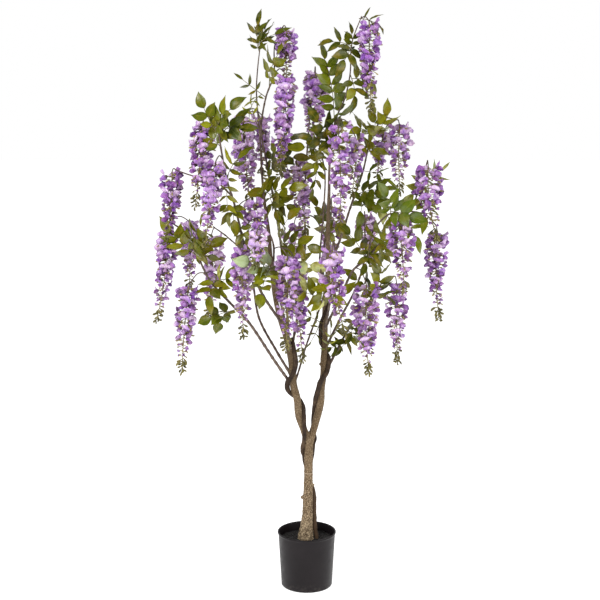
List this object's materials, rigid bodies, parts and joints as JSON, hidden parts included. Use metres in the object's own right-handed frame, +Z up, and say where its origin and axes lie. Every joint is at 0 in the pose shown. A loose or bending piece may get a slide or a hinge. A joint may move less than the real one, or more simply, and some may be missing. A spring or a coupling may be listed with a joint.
{
  "type": "wisteria in a pot",
  "caption": "Wisteria grown as a small forked tree with a twining stem, hanging flower heads and pinnate leaves, standing in a tapered pot.",
  "frame": {"origin": "middle of the pot's flat base", "axes": "+Z up along the trunk, -Y the front of the plant, +X to its right"},
  "size_m": [0.9098, 0.615, 1.7956],
  "materials": {
    "pot": "satin",
    "soil": "matte",
    "bark": "matte",
    "vine_bark": "matte",
    "petals": "matte",
    "leaves": "satin"
  },
  "bodies": {
    "root": {"pot": "pot", "soil": "soil", "trunk": "bark", "twining_vine": "vine_bark", "raceme_01": "petals", "raceme_02": "petals", "raceme_03": "petals", "raceme_04": "petals", "raceme_05": "petals", "raceme_06": "petals", "raceme_07": "petals", "raceme_08": "petals", "raceme_09": "petals", "raceme_10": "petals", "raceme_11": "petals", "raceme_12": "petals", "raceme_13": "petals", "raceme_14": "petals", "raceme_15": "petals", "raceme_16": "petals", "raceme_17": "petals", "raceme_18": "petals", "raceme_19": "petals", "raceme_20": "petals", "raceme_21": "petals", "raceme_22": "petals", "raceme_23": "petals", "raceme_24": "petals", "raceme_25": "petals", "raceme_26": "petals", "raceme_27": "petals", "spray_01": "leaves", "spray_02": "leaves", "spray_03": "leaves", "spray_04": "leaves", "spray_05": "leaves", "spray_06": "leaves", "spray_07": "leaves", "spray_08": "leaves", "spray_09": "leaves", "spray_10": "leaves", "spray_11": "leaves", "spray_12": "leaves", "spray_13": "leaves", "spray_14": "leaves", "spray_15": "leaves", "spray_16": "leaves", "spray_17": "leaves", "spray_18": "leaves", "spray_19": "leaves", "spray_20": "leaves", "spray_21": "leaves", "spray_22": "leaves", "spray_23": "leaves", "spray_24": "leaves", "spray_25": "leaves", "spray_26": "leaves", "spray_27": "leaves", "spray_28": "leaves", "spray_29": "leaves"}
  },
  "joints": []
}
